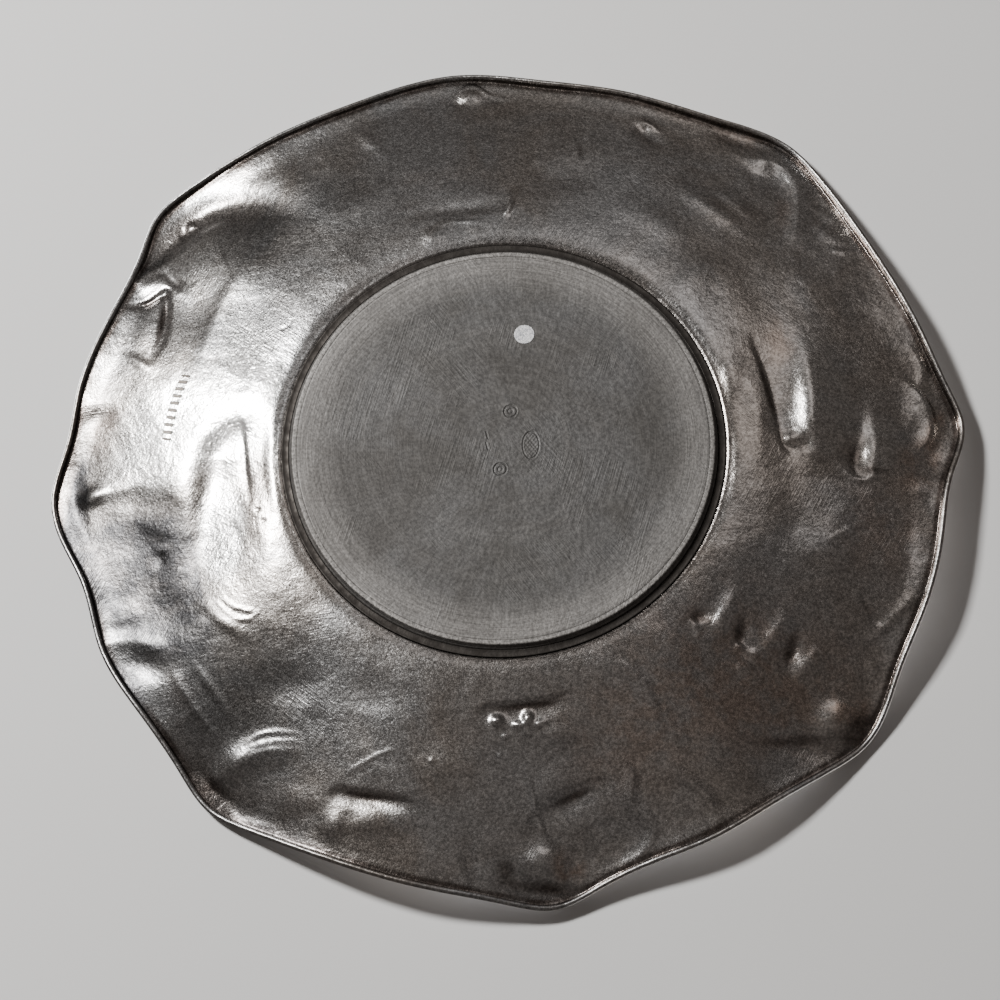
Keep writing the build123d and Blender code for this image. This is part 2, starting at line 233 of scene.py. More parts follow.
# A fold runs along a line: (height, width on its left, width on its right, sharpness, line).
# "Left" is the left hand of somebody who walks along it with +x to the right and +y down.
# Each point of the line is (x, y, its own part of the height).
FOLDS = [
    # left: the long hollow with the arched top, the ridge out to the lobe
    (-3.6, 19, 11.5, 2.7, [(-110, 1, 0.8), (-111, 9, 1), (-112, 20, 0.95), (-112.5, 32, 0.8),
     (-113, 44, 0.5), (-113, 56, 0.2), (-113, 68, 0)]),
    (-0.4, 1.1, 1.6, 2, [(-104, -13, 0.4), (-103, -4, 1), (-101.5, 8, 0.9), (-99.5, 20, 0.2)]),
    (0.8, 12, 4, 1.8, [(-171, 13, 0.5), (-166, 10, 1), (-158, 8, 1), (-149, 7.5, 0.8),
     (-139, 9, 0.7), (-131, 13, 0.5), (-122, 20, 0.1)]),
    (-0.4, 3, 3, 2, [(-174, -4, 0.4), (-173, 6, 0.9), (-171.5, 16, 1), (-168, 24, 0.6),
     (-164, 32, 0.1)]),
    (0.22, 0.9, 0.9, 2, [(-112, 60, 0.3), (-106, 66, 1), (-99, 68, 1), (-94, 64, 0.2)]),
    (0.22, 0.9, 0.9, 2, [(-111, 57, 0.2), (-105, 62.5, 1), (-98, 65, 0.8)]),
    (0.4, 3, 2.2, 2, [(-118, 58, 0.2), (-111, 67, 1), (-104, 72, 1), (-98, 76, 0.3)]),
    (0.25, 2, 1.4, 2, [(-140, 34, 0.2), (-136, 35, 1), (-132, 35, 0.2)]),
    (0.4, 5, 4, 2, [(-150, 20, 0.2), (-143, 23, 1), (-134, 28, 0.8), (-126, 30, 0.2)]),
    # upper left: the hollow inside the corner, its ridge, the deep hook, the long ridge
    (-2.6, 7, 12, 2.2, [(-152, -86, 0.2), (-144, -98, 0.7), (-134, -110, 0.9), (-120, -118, 1),
     (-106, -118, 0.8), (-94, -112, 0.45), (-82, -103, 0.15), (-72, -94, 0)]),
    (2.4, 4, 13, 1.6, [(-153, -84, 0.3), (-145, -90, 1), (-137, -96, 1), (-128, -103, 1),
     (-120, -108, 0.8), (-112, -109, 0.2)]),
    (0.4, 8, 8, 2, [(-122, -129, 0.4), (-110, -133, 1), (-98, -131, 1), (-84, -124, 0.6),
     (-72, -114, 0.1)]),
    (-1.3, 1.2, 2.4, 2, [(-152, -74.5, 0.4), (-147.5, -74.5, 1), (-143.5, -76.5, 1),
     (-140, -79, 0.8), (-138, -81, 0.1)]),
    (-1.4, 2.4, 1.6, 2.6, [(-139, -78, 0.5), (-138.5, -72, 1), (-138.5, -63, 1), (-139.5, -55, 0.6),
     (-143, -48, 0.1)]),
    (0.7, 3.5, 3.5, 2, [(-149, -81, 0.5), (-144.5, -84, 1), (-140, -84, 0.6)]),
    (0.5, 4, 4, 2, [(-145, -72, 0.4), (-145, -64, 1), (-146, -56, 0.3)]),
    (0.8, 8, 4, 1.8, [(-102, -92, 0.2), (-108, -80, 0.8), (-114, -68, 1), (-118, -56, 0.9),
     (-121, -44, 0.2)]),
    (-0.6, 6, 6, 2, [(-131, -78, 0.3), (-127, -68, 1), (-126, -58, 0.5)]),
    (-1.0, 2.2, 2.2, 2, [(-139, -88, 0.5), (-136, -84, 1), (-131, -80, 0.3)]),
    (0.6, 2, 2, 2, [(-153, -50, 0.3), (-148, -46, 1), (-143, -42, 0.3)]),
    (-0.3, 0.5, 0.5, 2, [(-89, -53, 0.5), (-86.5, -54, 1), (-85, -57, 0.5)]),
    (0.4, 5, 5, 2, [(-170, -36, 0.4), (-166, -31, 1), (-162, -34, 0.3)]),
    (-0.5, 4, 4, 2, [(-172, -22, 0.3), (-164, -24, 1), (-156, -26, 0.2)]),
    # top
    (0.5, 0.9, 0.9, 2, [(-20, -168, 0.3), (-18, -172, 1), (-13, -173.5, 1), (-8.5, -170, 1),
     (-5, -168, 0.6), (1, -166.5, 0.3)]),
    (1.1, 1.6, 1.6, 1.6, [(55, -153, 0.3), (59, -151.5, 1), (63, -149, 0.4)]),
    (-1.3, 3, 3, 2, [(57, -147, 1), (60, -143, 0.8), (64, -141, 0.2)]),
    (-0.6, 0.8, 0.8, 2, [(33.5, -142, 0.7), (32.5, -138, 1), (30, -133, 0.3)]),
    (1.0, 1.2, 1.2, 1.7, [(5, -115, 0.2), (3.5, -109, 0.9), (1.5, -103, 1), (0.5, -101, 0.3)]),
    (-0.7, 3.5, 3, 2, [(-34, -104, 0.3), (-22, -105, 1), (-10, -106, 1), (-1, -107, 0.4)]),
    (0.3, 0.8, 0.8, 2, [(-26, -98.5, 0.3), (-16, -99, 1), (-6, -98, 0.3)]),
    (0.6, 3, 3, 2, [(-62, -153, 0.3), (-56, -145, 1), (-50, -137, 0.3)]),
    # upper right: the hooked ridge from the boss, the soft diagonals
    (1.9, 7, 3.2, 1.8, [(103, -136, 0.5), (109, -136, 1), (114, -133, 1), (118.5, -126, 1),
     (120, -116, 0.8), (119, -102, 0.45), (116, -88, 0.1)]),
    (0.8, 5, 4, 2, [(70, -120, 0.2), (80, -112, 1), (90, -104, 0.9), (99, -97, 0.2)]),
    (0.7, 4, 3, 2, [(88, -120, 0.2), (94, -112, 1), (102, -104, 0.2)]),
    (0.5, 1.2, 1.2, 2, [(132, -92, 0.3), (137, -91, 1), (143, -92.5, 0.4)]),
    # right: the long pointed ridge, the dark crease, the pocket
    (4.8, 14, 7.0, 2, [(114, -64, 0.05), (119, -50, 0.3), (121.5, -36, 0.65), (122.5, -22, 1),
     (122.5, -10, 0.95), (122.8, -2, 0.6), (123, 5, 0.22), (123, 13, 0)]),
    (-1.1, 5.5, 0.9, 1.8, [(99, -44, 0.2), (103, -33, 0.9), (106, -20, 1), (107.5, -10, 1),
     (109.5, -1, 0.8)]),
    (0.8, 5, 4, 2, [(96, -30, 0.2), (100, -16, 1), (101, 0, 0.4)]),
    (0.2, 1, 1, 2, [(109, -6, 0.6), (113, -8.5, 1), (117.5, -4.5, 0.8)]),
    (2.6, 10, 4.6, 2, [(145, -26, 0.1), (147, -14, 0.5), (147, -3, 1), (145, 7, 0.7)]),
    (0.6, 1.3, 1.6, 2, [(132, 6, 0.3), (136, 10.5, 1), (140.5, 12.5, 1), (145, 11, 0.3)]),
    (-0.12, 0.6, 0.6, 2, [(126, -17, 0.5), (133, -16, 1), (140, -17, 0.4)]),
    (-0.12, 0.6, 0.6, 2, [(127, -13, 0.5), (134, -12, 1), (140, -13, 0.4)]),
    (-0.12, 0.6, 0.6, 2, [(126, -8.5, 0.5), (133, -8, 1), (139, -9, 0.4)]),
    (1.6, 1.6, 4, 2, [(159, -33, 0.3), (166, -27, 0.9), (170, -18, 1), (169, -9, 0.9),
     (163, -1, 0.5)]),
    (0.8, 2, 2, 2, [(163, -48, 0.3), (167, -39, 1), (166, -30, 0.5)]),
    (0.3, 4, 3, 2, [(163, 16, 0.2), (163, 34, 1), (159, 56, 0.8), (154, 66, 0.2)]),
    (0.35, 1.5, 1.5, 2, [(127, 38, 0.2), (134, 34, 1), (142, 29, 0.3)]),
    (0.9, 2.5, 2, 2, [(144, 74, 0.3), (150, 68, 1), (157, 61, 0.7)]),
    (-0.8, 1.5, 1.5, 2, [(139, 61, 0.5), (142, 66, 1), (147, 69, 0.6)]),
    # lower right: the row of knuckles, the crease, the curved ridges
    (1.9, 6.5, 3.4, 1.8, [(91, 58, 0.1), (87, 66, 0.8), (83.5, 73, 1), (81, 78, 0.2)]),
    (1.6, 6, 3.2, 1.8, [(110, 67, 0.1), (107, 72, 0.7), (103, 78, 1), (99, 83, 0.3)]),
    (1.8, 5.5, 3.2, 1.8, [(123, 79, 0.2), (119, 84, 1), (115, 89, 0.9), (112, 93, 0.2)]),
    (0.6, 1.2, 1.2, 2, [(73, 73, 0.3), (75, 78, 1), (78, 81, 0.4)]),
    (-1.2, 2.2, 4.4, 2, [(93, 117.5, 0.2), (104, 116, 1), (114, 117, 1), (122, 119, 0.4),
     (128, 121, 0)]),
    (0.7, 2.4, 2.4, 2, [(57, 126, 0.2), (68, 131, 1), (76, 137, 1), (81, 146, 0.3)]),
    (0.6, 2.5, 2.5, 2, [(38, 90, 0.3), (48, 93, 1), (55, 101, 1), (58, 114, 0.3)]),
    (0.4, 2, 2, 2, [(72, 104, 0.3), (82, 108, 1), (90, 116, 0.3)]),
    # bottom: the oblong recess, the slanting recess, the ridges down to the lobe
    (-1.9, 1.1, 5.5, 2.2, [(-5, 106.5, 0.6), (2, 106, 1), (11, 105, 1), (19, 103.5, 0.8),
     (26, 101, 0.1)]),
    (-1.3, 1.3, 7, 2, [(12, 146, 0.4), (18, 142, 1), (25, 138, 1), (34, 133.5, 0.5)]),
    (0.5, 5, 6, 2, [(18, 152, 0.2), (30, 146, 1), (42, 139, 0.8), (50, 134, 0.1)]),
    (0.5, 1.2, 1.5, 2, [(8, 128, 0.2), (11, 140, 1), (14, 151, 1), (18, 158, 0.4)]),
    (-0.8, 3, 3, 2, [(-15, 150, 0.2), (-14, 160, 1), (-12, 170, 0.6)]),
    (0.95, 1.6, 3.5, 1.7, [(42, 124, 0.2), (49, 132, 1), (49, 142, 0.9), (56, 147, 0.8),
     (54, 157, 0.8), (42, 165, 0.3)]),
    (-1.6, 1.5, 4, 2.2, [(-63, 135.5, 0.5), (-55, 137.5, 1), (-47, 139, 0.9), (-36, 141.5, 0.3)]),
    (0.25, 0.8, 0.8, 2, [(-60, 129, 0.4), (-48, 123, 1), (-40, 121, 0.3)]),
    # lower left: the step, the hollow and the ribbed boss, the brushed lines
    (0.9, 4, 4, 1.8, [(-160, 72, 0.7), (-151, 70.5, 1), (-143, 72, 0.9), (-136, 76, 0.5),
     (-131, 82, 0.1)]),
    (2.3, 5.5, 5, 2, [(-110, 126, 0.8), (-105, 122, 1), (-98, 119, 0.7), (-89, 118, 0.4),
     (-78, 119, 0.1)]),
    (-2.2, 9, 18, 2, [(-127, 104, 0.2), (-121, 116, 0.8), (-116, 127, 1), (-108, 136, 0.85),
     (-96, 142, 0.6), (-82, 147, 0.4), (-66, 151, 0.1)]),
    (0.35, 0.8, 1.2, 2, [(-100, 113.5, 0.3), (-95, 111.5, 1), (-88, 111, 0.8), (-80, 112.5, 0.2)]),
    (0.2, 0.7, 0.7, 2, [(-99, 116, 0.5), (-91, 114.5, 1), (-80, 115.5, 0.3)]),
    (0.18, 0.7, 0.7, 2, [(-98, 119, 0.5), (-91, 118, 1), (-82, 118.5, 0.3)]),
    (0.35, 1.6, 1.6, 2, [(-131, 84, 0.2), (-122, 98, 1), (-112, 112, 0.3)]),
    (0.35, 1.6, 1.6, 2, [(-122, 82, 0.2), (-114, 93, 1), (-106, 105, 0.3)]),
    (0.25, 1.2, 1.2, 2, [(-126, 92, 0.2), (-119, 103, 1), (-113, 110, 0.3)]),
    (0.2, 2, 2, 2, [(-114, 141, 0.3), (-103, 143, 1), (-90, 147, 0.3)]),
]

# A boss is a round or oval swelling: (height, x, y, half length, half width, turned by).
BOSSES = [
    (2.0, -116, -84, 19, 17, 0), (-2.4, -140, 36, 24, 25, 0), (1.0, -165, 9, 5, 3.4, -20),
    (0.9, -131, -113, 2.6, 2.2, 0), (-0.7, -134.5, -110, 2.2, 1.8, 30),
    (1.4, -14.5, -168.5, 4.6, 3.4, 0), (-0.6, -19.5, -164, 1.6, 2.6, 0), (0.6, -28, -92, 5, 4, 0),
    (1.3, 106, -133, 5, 4, 30), (0.7, 133, -108, 4.5, 4, 0), (0.8, 134, -98, 6, 4, 20),
    (0.4, 128, -103, 3, 3, 0), (0.9, 76, -72, 11, 7, -50), (1.1, 113, -3, 3.0, 2.7, 0),
    (-0.8, 119.5, -1, 2.4, 3.2, 0), (-1.2, 137.5, 2, 4.2, 7, 0), (1.0, 165, -19, 6, 8, 0),
    (-1.0, 167, 2, 8, 6, -30), (-1.3, 75, 70.5, 3.4, 2.4, 0), (-1.5, 91, 75.5, 3.2, 5.6, 10),
    (0.9, 90.5, 81.5, 1.4, 1.6, 0), (-1.7, 110.5, 80.5, 3.2, 6.5, 20), (0.8, 97, 84.5, 3.2, 2.6, 0),
    (0.5, 92, 90, 3, 2, 0), (3.8, 129, 107, 8.0, 7.4, 0), (0.9, 90, 133, 8, 6, 0),
    (0.5, 142.5, 86, 2.4, 3, 0), (1.7, -2.5, 111.5, 2.4, 2.2, 0), (1.8, 9.2, 110.5, 2.0, 3.0, 8),
    (1.1, 5.8, 113.2, 2.4, 1.5, 15), (1.1, 13.6, 112.6, 2.6, 1.5, -25), (0.7, 9, 116, 2.0, 1.6, 0),
    (0.9, 22, 116.5, 7, 3.2, 0), (0.6, 0.5, 117.5, 1.3, 1.1, 0), (0.45, -27.5, 126, 0.9, 0.8, 0),
    (0.4, -1.5, 124.5, 1.1, 0.9, 0), (3.2, 14.5, 163, 7.5, 6, 0), (1.0, 20, 134, 8, 6, -30),
    (-0.8, 22, 173, 12, 3, 0), (0.7, -53, 148, 6, 4, 0), (0.9, -66, 147.5, 4.6, 5, 0),
    (0.5, -40, 148, 5, 4, 0), (-0.8, -84, 94, 12, 7, 0), (0.7, -86, 21, 2.6, 3.2, 0),
    (-0.3, -136, 39.5, 2.4, 3, 0), (-0.35, -96.5, 24, 1.0, 0.8, 30), (-0.3, -94, 29, 1.0, 0.7, 30),
    (0.5, -152, 60, 9, 6, 0), (0.4, -80, 138, 9, 5, 10), (-0.8, -142, 82, 11, 5, 10),
    (-0.7, -130, 62, 10, 8, 0), (0.7, 90, -28, 4, 8, 0), (0.8, -100, -140, 12, 5, -25),
    (-0.7, 96, -146, 10, 4, 25), (0.6, 60, -100, 14, 7, 30), (-0.6, 24, -122, 12, 8, 0),
    (0.6, -60, -110, 12, 8, -30), (-0.7, -48, 100, 12, 7, 20), (0.6, -20, 128, 12, 6, 0),
    (0.7, 130, 40, 7, 14, 15), (-0.7, 112, 34, 8, 10, 0),
]

# The shallow channel just inside the beaded edge: its depth at each angle. A low swelling
# runs along the edge, and the channel takes its part of it away.
CHANNEL = [
    (-75, 1.2), (-58, 1.8), (-40, 1.9), (-22, 2.1), (-5, 2.2), (8, 1.4), (25, 0.8), (42, 1.4),
    (60, 0.6), (84, 1.6), (100, 2.0), (128, 2.5), (150, 1.8), (177, 1.3), (197, 0.7), (222, 1.0),
    (245, 0.6), (262, 0.7),
]
EDGE_SWELL, CHANNEL_PART = 0.75, 0.6
CHANNEL_FROM, CHANNEL_TO = 12.0, 3.5        # distances inside the edge

# Broad soft unevenness all over the rim: (seed, size, strength).
UNEVEN = [(3, 60, 0.30), (4, 22, 0.07), (9, 9, 0.018)]
# More of it on the side with +x and +y.
MORE_UNEVEN = [(6, 27, 0.17), (7, 11, 0.035)]
MORE_FROM, MORE_TO = -30, 60

# Places where the metal has a coppery cast: (strength, x, y, half length, half width, turned by).
WARM_PLACES = [
    (0.8, -161, -18, 14, 8, -70), (1.0, -163, 37, 12, 6, 60), (0.9, 165, 2, 9, 12, 20),
    (0.9, 172, -16, 4, 9, 10), (0.8, 134, 104, 6, 9, 0), (0.9, 24, 164, 7, 8, 0),
    (0.6, 110, -45, 10, 16, 0), (0.6, 97, -147, 14, 5, 25), (0.5, 115, -112, 6, 18, 10),
    (0.5, -112, -134, 16, 6, -30), (0.4, -30, -122, 22, 9, 0), (0.5, 150, 30, 22, 26, 0),
    (0.5, 100, 100, 50, 30, 0), (0.4, 40, 125, 30, 26, 0), (0.4, -128, 90, 9, 16, -30),
    (0.5, -112, -20, 10, 26, 20), (0.35, -20, 118, 14, 8, 0), (0.4, -84, 134, 14, 7, 20),
    (0.4, 60, 60, 90, 60, 20),
]

# Dirt and painted shade: darker in slits and creases and beside the bosses; the same six numbers.
DIRT_AND_SHADE_PLACES = [
    (1.0, 10.5, 105.5, 13, 1.4, -6), (0.9, 26, 138.5, 10, 1.7, -23), (0.9, 104.5, -22, 22, 1.7, 76),
    (0.9, -139.5, -66, 14, 2.0, 97), (0.9, -146, -75.5, 8, 1.5, -14), (0.9, -51, 138, 15, 1.6, 10),
    (0.7, 112, 115, 18, 2.6, -8), (0.8, 75, 71, 3.4, 2.6, 0), (0.9, 91, 76, 3, 6.5, 10),
    (0.9, 110.5, 81, 3, 7.5, 20), (0.9, 136, 110, 5, 8, 30), (0.8, 14, 171.5, 15, 2.6, 3),
    (0.7, 0, 165, 5, 5, 0), (0.8, 138, 3, 4, 7, 0), (0.8, -114, 130, 11, 6, 50),
    (1.0, -172, 10, 19, 4.2, 78), (0.5, -101, 4, 13, 1.3, 85), (0.6, 142, 64, 6, 2, 50),
    (0.6, 60, -144, 4, 3, 30), (0.7, 146, 8, 6, 2, 0), (0.6, 31, -137, 1.6, 5, 0),
    (0.5, -133, -112, 5, 3, -30),
]
# Dirt and painted shade along the edge, darkest in the channel inside the bead: (strength, distance
# inside the edge, width).
EDGE_DIRT_AND_SHADE = [(0.85, 3.3, 1.5), (0.35, 0, 9)]

# Painted shade: places painted dull dark grey, and made rougher, where the rim should turn away
# from the key light; the same six numbers.
DULL_AND_SHADE_PLACES = [
    (1.1, -148, 29, 27, 17, 8), (1.1, -147, 52, 27, 18, 12), (0.8, -126, 48, 8, 26, -8),
    (0.9, -130, 70, 22, 13, 0), (1.2, -172, 13, 5, 26, 3), (1.0, -148, 89, 8, 17, -40),
    (0.7, -92, 147, 28, 7, 20), (0.5, -104, -101, 24, 14, -20), (0.5, -84, -86, 24, 18, 0),
    (0.6, -102, 98, 34, 24, 0), (0.5, -80, -116, 26, 10, -20), (0.65, -161, -22, 9, 28, 5),
]

# Painted highlight: places painted brighter, and made smoother, where the key light's highlight
# falls; the same six numbers.
PAINTED_HIGHLIGHT_PLACES = [
    (1.0, -136, -14, 20, 26, 15), (1.1, -103, -25, 13, 28, 5), (1.3, -111, 32, 9, 20, 0),
    (1.0, -131, -91, 10, 7, 0),
]


RUN_LENGTH = 1.5        # of the short straight runs that a fold's line is cut into
FOLD_REACH = 3          # how far a fold is worked out, in its own widths
SIDE_BLEND = 0.8        # how softly a fold's left width turns into its right one
BOSS_SHARPNESS = 1.15
WAVE_COUNT = 10


def along(line):
    """A fold's line as short straight runs: points and their part of the height."""
    knots = np.array(line, float)
    steps = np.concatenate([[0], np.cumsum(np.hypot(*np.diff(knots[:, :2], axis=0).T))])
    runs = max(int(steps[-1] / RUN_LENGTH), 4)
    return spline(steps, knots, np.linspace(0, steps[-1], runs))


def add_fold(relief, x, y, height, left, right, sharpness, line):
    """Add one fold to the relief, measured from the nearest run of its line."""
    run = along(line)
    reach = FOLD_REACH * max(left, right)
    low, high = run[:, :2].min(0) - reach, run[:, :2].max(0) + reach
    near = (x > low[0]) & (x < high[0]) & (y > low[1]) & (y < high[1])
    px, py = x[near], y[near]
    best = np.full(px.shape, 1e9)
    side, part = np.zeros(px.shape), np.zeros(px.shape)
    for (ax, ay, ah), (bx, by, bh) in zip(run[:-1], run[1:]):
        dx, dy = bx - ax, by - ay
        t = np.clip(((px - ax) * dx + (py - ay) * dy) / (dx * dx + dy * dy), 0, 1)
        qx, qy = px - ax - t * dx, py - ay - t * dy
        d = np.hypot(qx, qy)
        closer = d < best
        best = np.where(closer, d, best)
        across = (dx * qy - dy * qx) / (math.hypot(dx, dy) * np.maximum(d, 1e-6))
        side = np.where(closer, across, side)
        part = np.where(closer, ah + t * (bh - ah), part)
    width = left + (right - left) * smooth(-SIDE_BLEND, SIDE_BLEND, side)
    relief[near] += height * np.maximum(part, 0) * np.exp(-((best / width) ** sharpness))


def add_boss(relief, x, y, height, cx, cy, long, wide, turned):
    """Add one oval swelling to the relief, or one oval patch to a mark."""
    c, s = math.cos(math.radians(turned)), math.sin(math.radians(turned))
    u = ((x - cx) * c + (y - cy) * s) / long
    v = ((y - cy) * c - (x - cx) * s) / wide
    relief += height * np.exp(-((u * u + v * v) ** BOSS_SHARPNESS))


def waves(x, y, seed, size, strength):
    """Broad soft unevenness of hand-worked sheet, from a few crossing waves."""
    rng = np.random.default_rng(seed)
    total = np.zeros(x.shape)
    for _ in range(WAVE_COUNT):
        way, phase = rng.uniform(0, math.pi), rng.uniform(0, 2 * math.pi)
        scale = size * rng.uniform(0.7, 1.6)
        total += np.sin((x * math.cos(way) + y * math.sin(way)) * 2 * math.pi / scale + phase)
    return total * strength / 4


def relief_at(points, edge):
    """Height of the relief, towards the underside, at points on the rim."""
    x, y = points[..., 0], points[..., 1]
    relief = sum(waves(x, y, *kind) for kind in UNEVEN)
    more = sum(waves(x, y, *kind) for kind in MORE_UNEVEN)
    relief += more * smooth(MORE_FROM, MORE_TO, x + 0.5 * y)
    for fold in FOLDS:
        add_fold(relief, x, y, *fold)
    for boss in BOSSES:
        add_boss(relief, x, y, *boss)
    radius = np.hypot(x, y)
    inset = edge - radius
    angles, depths = zip(*CHANNEL)
    depth = spline(angles, depths, np.degrees(np.arctan2(y, x)), 360)
    relief += (EDGE_SWELL - CHANNEL_PART * depth) * smooth(CHANNEL_FROM, CHANNEL_TO, inset)
    beside_lip = smooth(LIP_RADIUS - 0.5, LIP_RADIUS + 7, radius)
    beside_bead = smooth(1.9, CREST_INSET, inset)
    return relief * beside_lip * beside_bead


def coverage(rows, places):
    """How strongly the listed places cover each point of the rows."""
    total = np.zeros(rows.shape[:2])
    for place in places:
        add_boss(total, rows[..., 0], rows[..., 1], *place)
    return total


def held_below(height, limit):
    """Heights that stop softly just above the limit where they would pass it."""
    stopped = limit + LIMIT_EASE * np.tanh((height - limit) / LIMIT_EASE)
    return np.where(height > limit, stopped, height)


# ---- the pieces ----

def rim_rows(turn, lift, outward):
    """Rows of points on one side of the rim, from the joint with the foot ring to the bead."""
    way, edge, crest = edge_line(turn)
    rows = []

    def add(place, height):
        rows.append(np.concatenate([place, height[:, None]], 1))

    for radius in np.arange(JOINT_RADIUS, LIP_RADIUS - 0.1, LIP_STEP):
        part = (radius - JOINT_RADIUS) / (LIP_RADIUS - JOINT_RADIUS)
        blunt = LIP_BLUNT * hump(radius - LIP_RADIUS, LIP_SOFT)
        height = JOINT_HEIGHT + part * (LIP_HEIGHT - JOINT_HEIGHT) + blunt + lift
        add(way * radius, np.full(len(turn), height))
    parts, climbs = zip(*RISE)
    for part, climb in zip(outward, spline(parts, climbs, outward)):
        place = way * (LIP_RADIUS * (1 - part) - CREST_INSET * part) + edge * part
        blunt = LIP_BLUNT * hump(np.hypot(*place.T) - LIP_RADIUS, LIP_SOFT)
        add(place, LIP_HEIGHT + climb * (crest - LIP_HEIGHT) + blunt + lift)
    steps = np.linspace(0, len(TURN) - 1, TURN_ROWS + 1)[1:]
    for inset, drop in spline(range(len(TURN)), TURN, steps):
        add(edge - way * inset, crest - drop + lift)
    return np.array(rows), np.hypot(*edge.T)


def outward_steps(fine, coarse):
    """Parts of the way out over the rim: close together near the lip, then even."""
    near = np.linspace(0, 0.05, fine)
    return np.concatenate([near, np.linspace(0.05, 1, coarse)[1:]])


def rim_relief():
    """The rim with its relief, and the marks that its material reads."""
    turn = np.arange(AROUND) * 360 / AROUND
    under, edge = rim_rows(turn, 0, outward_steps(12, 116))
    over, _ = rim_rows(turn, SHEET, outward_steps(4, 56))
    under_relief, over_relief = relief_at(under, edge), relief_at(over, edge)
    under[..., 2] -= under_relief
    over[..., 2] -= over_relief
    over[..., 2] = held_below(over[..., 2], HIGHEST - 1)
    under[..., 2] = held_below(under[..., 2], HIGHEST - SHEET - LIMIT_EASE)
    rows = np.concatenate([over, under[::-1]])
    inset = edge - np.hypot(rows[..., 0], rows[..., 1])
    edge_dirt_and_shade = sum(strength * hump(inset - at, width) for strength, at, width in EDGE_DIRT_AND_SHADE)
    marks = {
        "relief": np.concatenate([over_relief, under_relief[::-1]]),
        "warm": coverage(rows, WARM_PLACES),
        # grime: dirt and painted shade in slits, creases, beside bosses and along the edge
        "grime": edge_dirt_and_shade + coverage(rows, DIRT_AND_SHADE_PLACES),
        "dulling_and_painted_shade": coverage(rows, DULL_AND_SHADE_PLACES),
        "smoothing_and_painted_highlight": coverage(rows, PAINTED_HIGHLIGHT_PLACES),
    }
    rim = grid_mesh("rim_relief", rows, closed_rows=True, marks=marks)
    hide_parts("rim")
    return rim


def rolled_bead():
    """The rolled edge: a round bead, hand-rolled and so never quite even."""
    turn = np.arange(AROUND) * 360 / AROUND
    way, edge, crest = edge_line(turn)
    middle = crest - EDGE_DROP + SHEET / 2
    uneven = ripple(np.radians(turn), (0.05, 7, 1), (0.05, 19, 2), (0.04, 43, 0), (0.03, 101, 3))
    high = (SHEET / 2 + BEAD_SWELL) * (0.93 + uneven)
    inner_half = 0.95 + 0.8 * uneven
    rows = []
    for step in range(BEAD_ROWS):
        t = math.pi / 2 - step * 2 * math.pi / BEAD_ROWS
        half = np.where(math.cos(t) > 0, BEAD_HALF, inner_half)
        place = edge + way * (half * math.cos(t) - BEAD_HALF)[:, None]
        rows.append(np.concatenate([place, (middle + high * math.sin(t))[:, None]], 1))
    bead = grid_mesh("rolled_bead", rows, closed_rows=True)
    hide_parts("edge_bead")
    return bead


# Plain tool marks in the middle of the base, in millimetres.
RING_PLACES = [(3, -14), (-1, 10.5)]
RING_LINES = [(2.5, 0.28, 0.20), (0.9, 0.25, 0.14)]     # radius, line width, depth
OVAL_PLACE, OVAL_HALF_WIDTH, OVAL_HALF_LENGTH = (11, 0.5), 3.2, 5.6
OVAL_LINE = (0.26, 0.18)                                # line width, depth
TICK_PLACES = [(-6.2, -4.0), (-6.2, 0.6)]
TICK_LINE, TICK_REACH, TICK_LEAN = (0.3, 0.17), 1.6, 0.25
BURR = 0.35             # height of the burr beside a pressed line, as a part of its depth


def groove(distance, width, depth):
    """A pressed line with a small burr on both sides."""
    return depth * (hump(distance, width) - BURR * hump(distance - 2 * width, width))


def plain_punches(x, y):
    """Plain tool marks in the middle of the base: two double rings, an oval and two ticks."""
    depth = np.zeros(x.shape)
    for cx, cy in RING_PLACES:
        d = np.hypot(x - cx, y - cy)
        depth += sum(groove(abs(d - radius), width, deep) for radius, width, deep in RING_LINES)
    u, v = (x - OVAL_PLACE[0]) / OVAL_HALF_WIDTH, (y - OVAL_PLACE[1]) / OVAL_HALF_LENGTH
    d = np.hypot(u, v) - 1
    depth += groove(abs(d) * 3.6, *OVAL_LINE)
    depth += 0.07 * (d < -0.12) * (np.sin(x * 4.2) * np.sin(y * 3.4) > 0.2)
    for cx, cy in TICK_PLACES:
        across, length = abs(x - cx - TICK_LEAN * (y - cy)), abs(y - cy)
        depth += groove(across, *TICK_LINE) * (length < TICK_REACH)
    return depth


def base_work(x, y, z):
    """Unevenness of the turned base: marks and waves below, a nearly level floor above."""
    below = z < BASE_HOLLOW + SHEET / 2
    uneven = waves(x, y, 11, 45, 0.05) + waves(x, y, 12, 14, 0.015)
    worked = uneven * smooth(79, 70, np.hypot(x, y)) + plain_punches(x, y)
    return np.where(below, worked, uneven * 0.4)


def turned_base():
    """The base disc: level above, slightly hollow below, with fine rows under the marks."""
    floor = BASE_HOLLOW + SHEET
    outer = SHOWN_JOINT - 0.02
    low_edge = 0.04
    top = [(r, floor) for r in np.linspace(0.4, outer - 0.5, 36)]
    side = [(outer - 0.15, floor - 0.05), (outer, floor - 0.2)]
    side += [(outer, 0.3), (outer - 0.01, 0.08), (outer - 0.08, 0.05)]
    radii = np.concatenate([np.linspace(outer - 0.8, 24, 62), np.linspace(23.75, 0.5, 94)])
    dish = BASE_HOLLOW - low_edge
    under = [(r, low_edge + dish * smooth(outer, outer - 22, r)) for r in radii]
    tips = [(0, 0, floor), (0, 0, BASE_HOLLOW)]
    base = lathe("turned_base", top + side + under, 720, tips, base_work, closed=False)
    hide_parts("base_disc")
    return base


